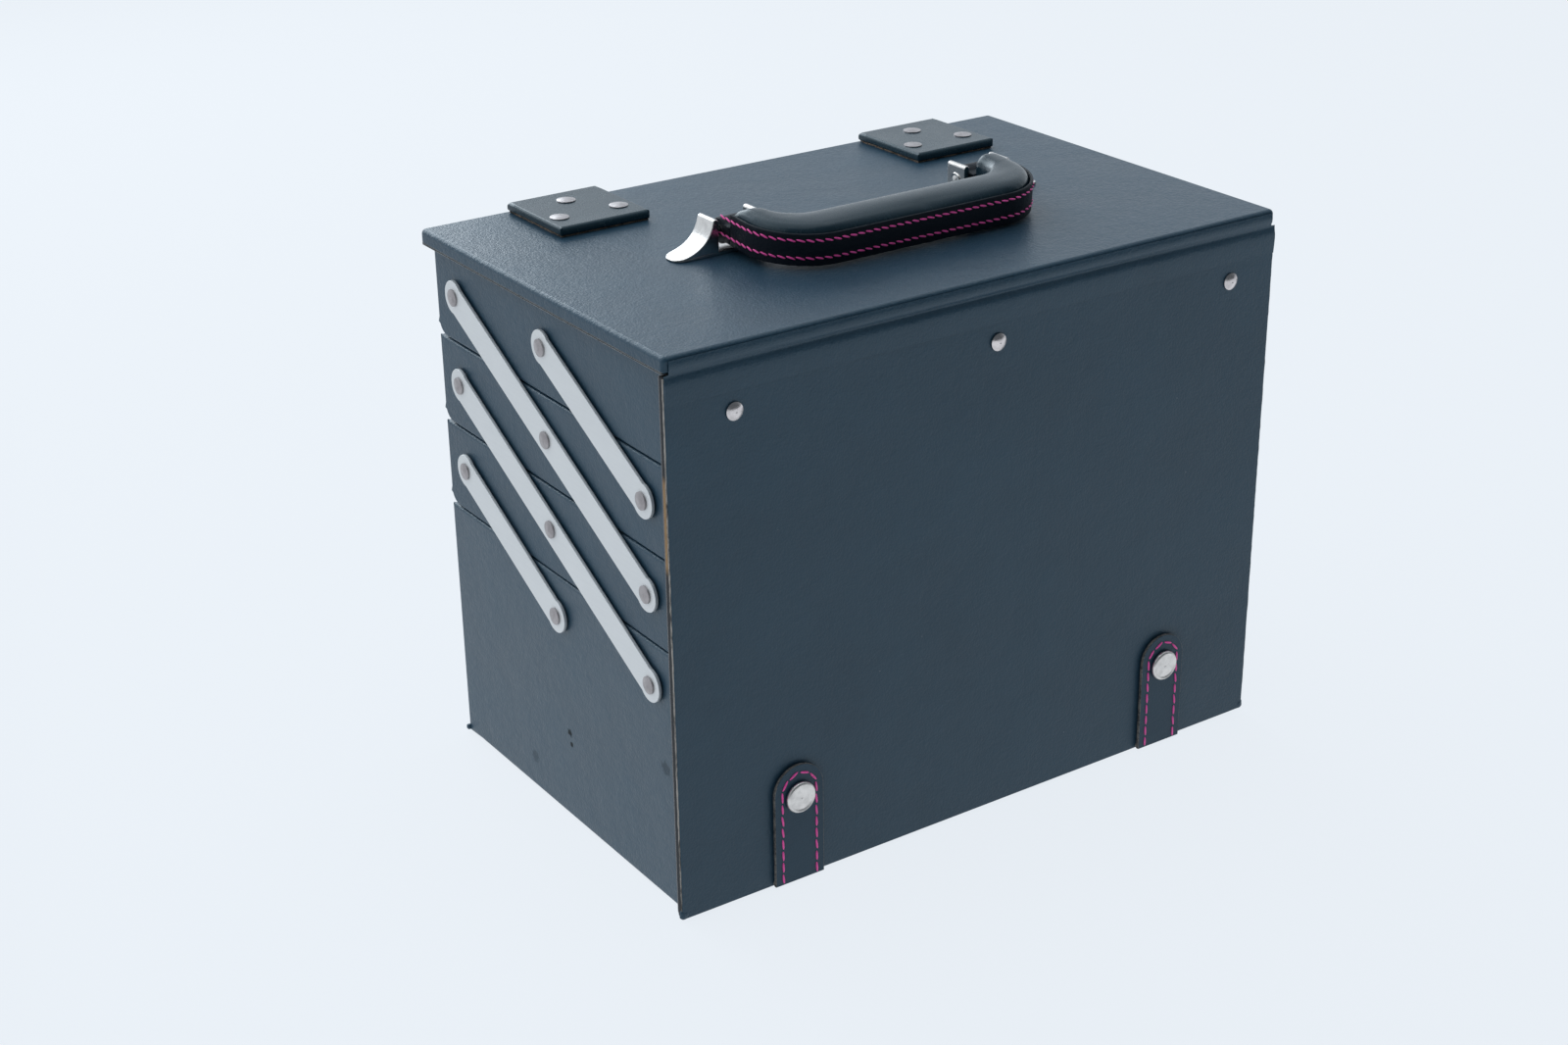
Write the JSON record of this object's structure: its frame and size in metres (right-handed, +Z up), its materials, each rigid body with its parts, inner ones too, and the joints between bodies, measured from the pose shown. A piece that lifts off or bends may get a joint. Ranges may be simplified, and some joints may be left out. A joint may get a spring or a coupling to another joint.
{
  "type": "sewing box",
  "caption": "Leatherette-covered cantilever sewing box: a deep base, swing-out trays on steel arms, a riveted front panel, a flip-over lid and a folding handle.",
  "frame": {"origin": "on the floor under the middle of the closed box, on the base's sole", "axes": "+Z up, +X along the box's length, front panel towards -Y"},
  "size_m": [0.331, 0.2214, 0.2839],
  "materials": {
    "leatherette": "satin",
    "strap_leather": "satin",
    "hardboard": "matte",
    "sole_board": "matte",
    "felt": "matte",
    "backing": "matte",
    "arm_steel": "satin",
    "nickel": "polished",
    "washer": "matte"
  },
  "bodies": {
    "base": {"base_shell": "hardboard", "base_cover": "leatherette", "base_lining": "felt", "base_rivets": "nickel", "base_washers": "washer", "base_sole": "sole_board", "front_strap_tail_left": "strap_leather", "front_strap_tail_right": "strap_leather"},
    "lower_long_arms": {"lower_long_arm_left": "arm_steel", "lower_long_arm_right": "arm_steel"},
    "lower_short_arms": {"lower_short_arm_left": "arm_steel", "lower_short_arm_right": "arm_steel"},
    "tray_3": {"tray_3_shell": "hardboard", "tray_3_cover": "leatherette", "tray_3_lining": "felt", "tray_3_rivets": "nickel", "tray_3_washers": "washer"},
    "upper_long_arms": {"upper_long_arm_left": "arm_steel", "upper_long_arm_right": "arm_steel"},
    "tray_2": {"tray_2_shell": "hardboard", "tray_2_cover": "leatherette", "tray_2_lining": "felt", "tray_2_rivets": "nickel", "tray_2_washers": "washer"},
    "upper_short_arms": {"upper_short_arm_left": "arm_steel", "upper_short_arm_right": "arm_steel"},
    "tray_1": {"tray_1_shell": "hardboard", "tray_1_cover": "leatherette", "tray_1_lining": "felt", "tray_1_rivets": "nickel", "tray_1_washers": "washer", "panel_cover": "leatherette", "panel_board": "hardboard", "panel_lining": "backing", "panel_rivets": "nickel", "panel_spacers": "washer", "snap_studs": "nickel"},
    "lid": {"lid_board": "hardboard", "lid_cover": "leatherette", "lid_lining": "backing", "lid_spine": "leatherette", "lid_tab_left": "strap_leather", "lid_tab_right": "strap_leather", "tab_rivets": "nickel", "handle_post_left": "nickel", "handle_post_right": "nickel", "handle_pins": "nickel"},
    "handle": {"handle_grip": "strap_leather", "handle_band": "strap_leather", "handle_end_left": "strap_leather", "handle_end_right": "strap_leather"},
    "front_strap_left": {"front_strap_left": "strap_leather", "front_snap_cap_left": "nickel"},
    "front_strap_right": {"front_strap_right": "strap_leather", "front_snap_cap_right": "nickel"},
    "rear_strap_left": {"rear_strap_left": "strap_leather", "rear_snap_cap_left": "nickel"},
    "rear_strap_right": {"rear_strap_right": "strap_leather", "rear_snap_cap_right": "nickel"}
  },
  "joints": [
    {"name": "tray_swing", "type": "hinge", "parent": "base", "child": "lower_long_arms", "pos_m": [0, -0.081, 0.1064], "axis": [1, 0, 0], "range_deg": [0, 124.2]},
    {"name": "lower_short_arm_swing", "type": "hinge", "parent": "base", "child": "lower_short_arms", "pos_m": [0, 0, 0.1064], "axis": [1, 0, 0], "range_deg": [0, 124.2]},
    {"name": "tray_3_level", "type": "hinge", "parent": "lower_long_arms", "child": "tray_3", "pos_m": [0, 0, 0.1492], "axis": [1, 0, 0], "range_deg": [-124.2, 0]},
    {"name": "upper_long_arm_swing", "type": "hinge", "parent": "tray_3", "child": "upper_long_arms", "pos_m": [0, -0.081, 0.1492], "axis": [1, 0, 0], "range_deg": [0, 124.2]},
    {"name": "tray_2_level", "type": "hinge", "parent": "upper_long_arms", "child": "tray_2", "pos_m": [0, 0, 0.192], "axis": [1, 0, 0], "range_deg": [-124.2, 0]},
    {"name": "upper_short_arm_swing", "type": "hinge", "parent": "tray_2", "child": "upper_short_arms", "pos_m": [0, -0.081, 0.192], "axis": [1, 0, 0], "range_deg": [0, 124.2]},
    {"name": "tray_1_level", "type": "hinge", "parent": "upper_long_arms", "child": "tray_1", "pos_m": [0, 0.081, 0.2348], "axis": [1, 0, 0], "range_deg": [-124.2, 0]},
    {"name": "lid_hinge", "type": "hinge", "parent": "tray_1", "child": "lid", "pos_m": [0, -0.1058, 0.2539], "axis": [1, 0, 0], "range_deg": [0, 180], "deforming": ["lid_spine"]},
    {"name": "handle_swing", "type": "hinge", "parent": "lid", "child": "handle", "pos_m": [0.003, -0.003, 0.2708], "axis": [-1, 0, 0], "range_deg": [0, 150]},
    {"name": "front_strap_left_fold", "type": "hinge", "parent": "base", "child": "front_strap_left", "pos_m": [-0.1053, -0.1073, 0.0008], "axis": [1, 0, 0], "range_deg": [0, 85]},
    {"name": "front_strap_right_fold", "type": "hinge", "parent": "base", "child": "front_strap_right", "pos_m": [0.1077, -0.1073, 0.0008], "axis": [1, 0, 0], "range_deg": [0, 85]},
    {"name": "rear_strap_left_fold", "type": "hinge", "parent": "lid", "child": "rear_strap_left", "pos_m": [-0.0975, 0.1073, 0.261], "axis": [1, 0, 0], "range_deg": [0, 110]},
    {"name": "rear_strap_right_fold", "type": "hinge", "parent": "lid", "child": "rear_strap_right", "pos_m": [0.1035, 0.1073, 0.261], "axis": [1, 0, 0], "range_deg": [0, 110]}
  ],
  "couplings": [
    {"joint": "lower_short_arm_swing", "follows": "tray_swing", "ratio": 1},
    {"joint": "tray_3_level", "follows": "tray_swing", "ratio": -1},
    {"joint": "upper_long_arm_swing", "follows": "tray_swing", "ratio": 1},
    {"joint": "tray_2_level", "follows": "tray_swing", "ratio": -1},
    {"joint": "upper_short_arm_swing", "follows": "tray_swing", "ratio": 1},
    {"joint": "tray_1_level", "follows": "tray_swing", "ratio": -1}
  ]
}
